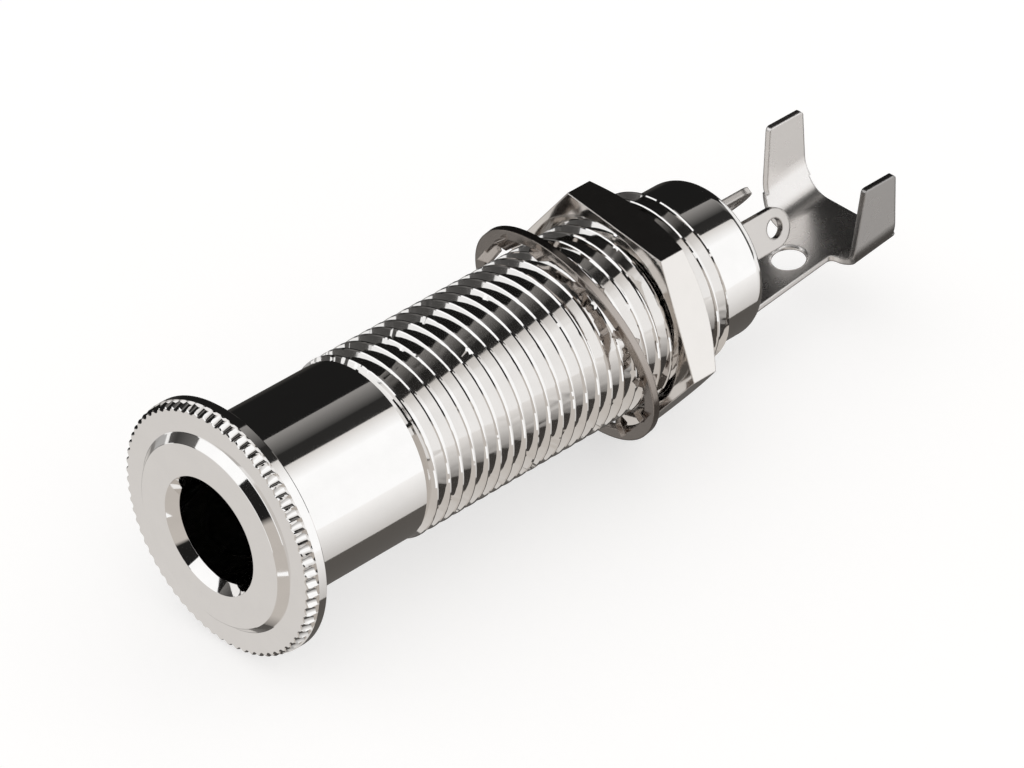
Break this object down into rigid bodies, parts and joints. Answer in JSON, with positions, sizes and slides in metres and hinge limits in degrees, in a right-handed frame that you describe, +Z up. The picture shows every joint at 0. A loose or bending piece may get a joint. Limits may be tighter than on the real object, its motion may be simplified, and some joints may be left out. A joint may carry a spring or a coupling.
{
  "type": "quarter_inch_phone_jack",
  "caption": "Quarter inch phone jack with a long threaded barrel, knurled flange, hex nut, lock washer, two solder lugs and a sleeve terminal with cable clamp",
  "frame": {"origin": "On the barrel's axis at the rear face of the flange, where the jack seats on its panel; it is inside the plug bore", "axes": "+Y runs from the flange back to the solder terminals, +Z is up, away from the sleeve tongue, +X completes a right-handed frame"},
  "size_m": [0.0158, 0.0535, 0.0158],
  "materials": {
    "bright_nickel": "gloss",
    "dark_nickel": "satin",
    "satin_nickel": "satin",
    "insulator": "matte"
  },
  "bodies": {
    "body": {"barrel": "bright_nickel", "liner_tube": "insulator", "front_insulator": "insulator", "middle_insulator": "insulator", "rear_insulator": "insulator", "ring_lug": "satin_nickel", "tip_lug": "satin_nickel", "sleeve_terminal": "satin_nickel"},
    "washer_rider": {"lock_washer": "dark_nickel"},
    "nut": {"hex_nut": "bright_nickel"},
    "ring_contact": {"ring_spring": "satin_nickel"},
    "tip_contact": {"tip_spring": "satin_nickel"}
  },
  "joints": [
    {"name": "nut_travel", "type": "slide", "parent": "body", "child": "washer_rider", "axis": [0, 1, 0], "range_m": [-0.0196, 0.0026]},
    {"name": "nut_turn", "type": "hinge", "parent": "washer_rider", "child": "nut", "pos_m": [0, 0.03048, 0], "axis": [0, 1, 0], "range_deg": [-7060, 940]},
    {"name": "ring_flex", "type": "hinge", "parent": "body", "child": "ring_contact", "pos_m": [0.00167, 0.0332, 0.00061], "axis": [-0.342, 0, 0.9397], "range_deg": [0, 2.4], "stiffness_Nm_per_rad": 0.2},
    {"name": "tip_flex", "type": "hinge", "parent": "body", "child": "tip_contact", "pos_m": [-0.00194, 0.0332, 0.00136], "axis": [-0.5736, 0, -0.8192], "range_deg": [0, 3.9], "stiffness_Nm_per_rad": 0.2}
  ],
  "couplings": [
    {"joint": "nut_turn", "follows": "nut_travel", "rad_per_m": 6283.2}
  ]
}
